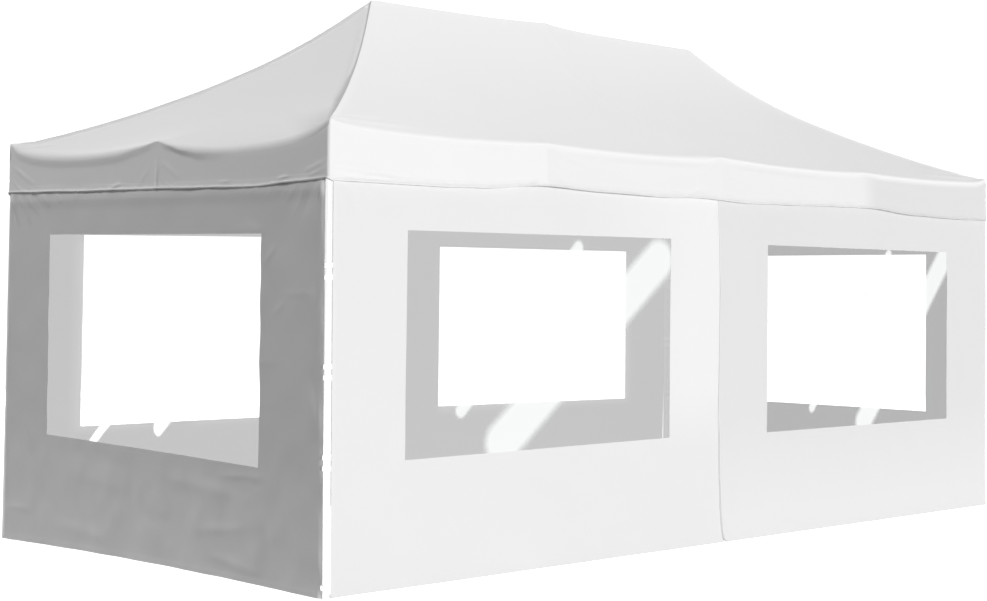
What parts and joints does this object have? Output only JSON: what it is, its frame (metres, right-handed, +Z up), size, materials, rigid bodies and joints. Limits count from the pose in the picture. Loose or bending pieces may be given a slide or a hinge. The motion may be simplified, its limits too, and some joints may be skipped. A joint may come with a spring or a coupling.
{
  "type": "folding party marquee tent",
  "caption": "Folding party marquee with a hipped cloth roof, a straight valance, walls with clear windows all round, and a folding frame of telescopic legs, scissor trusses and roof posts.",
  "frame": {"origin": "middle of the footprint, at the level of the ground under the foot plates", "axes": "+X along the long side, -Y out of the long side that faces the camera, +Z up"},
  "size_m": [5.8306, 2.9502, 3.173],
  "materials": {
    "roof_cloth": "white coated polyester, satin",
    "wall_cloth": "white coated polyester, satin",
    "window_film": "clear soft PVC film",
    "leg_tube": "satin anodised",
    "truss_bar": "satin anodised",
    "slider_nylon": "grey nylon"
  },
  "bodies": {
    "root": {"leg_lower_back_left": "leg_tube", "leg_lower_back_middle": "leg_tube", "leg_lower_back_right": "leg_tube", "leg_lower_front_left": "leg_tube", "leg_lower_front_middle": "leg_tube", "leg_lower_front_right": "leg_tube", "leg_upper_back_left": "leg_tube", "leg_upper_back_middle": "leg_tube", "leg_upper_back_right": "leg_tube", "leg_upper_front_left": "leg_tube", "leg_upper_front_middle": "leg_tube", "leg_upper_front_right": "leg_tube", "post_left": "truss_bar", "post_middle": "truss_bar", "post_right": "truss_bar", "roof_back": "roof_cloth", "roof_front": "roof_cloth", "roof_left": "roof_cloth", "roof_right": "roof_cloth", "slider_back_left": "slider_nylon", "slider_back_middle": "slider_nylon", "slider_back_right": "slider_nylon", "slider_front_left": "slider_nylon", "slider_front_middle": "slider_nylon", "slider_front_right": "slider_nylon", "truss_back_left": "truss_bar", "truss_back_right": "truss_bar", "truss_front_left": "truss_bar", "truss_front_right": "truss_bar", "truss_left": "truss_bar", "truss_middle": "truss_bar", "truss_ridge_left": "truss_bar", "truss_ridge_right": "truss_bar", "truss_right": "truss_bar", "valance_back": "roof_cloth", "valance_front": "roof_cloth", "valance_left": "roof_cloth", "valance_right": "roof_cloth", "wall_back_left": "wall_cloth", "wall_back_right": "wall_cloth", "wall_front_left": "wall_cloth", "wall_front_right": "wall_cloth", "wall_left": "wall_cloth", "wall_right": "wall_cloth", "window_back_left": "window_film", "window_back_right": "window_film", "window_front_left": "window_film", "window_front_right": "window_film", "window_left": "window_film", "window_right": "window_film"}
  },
  "joints": []
}
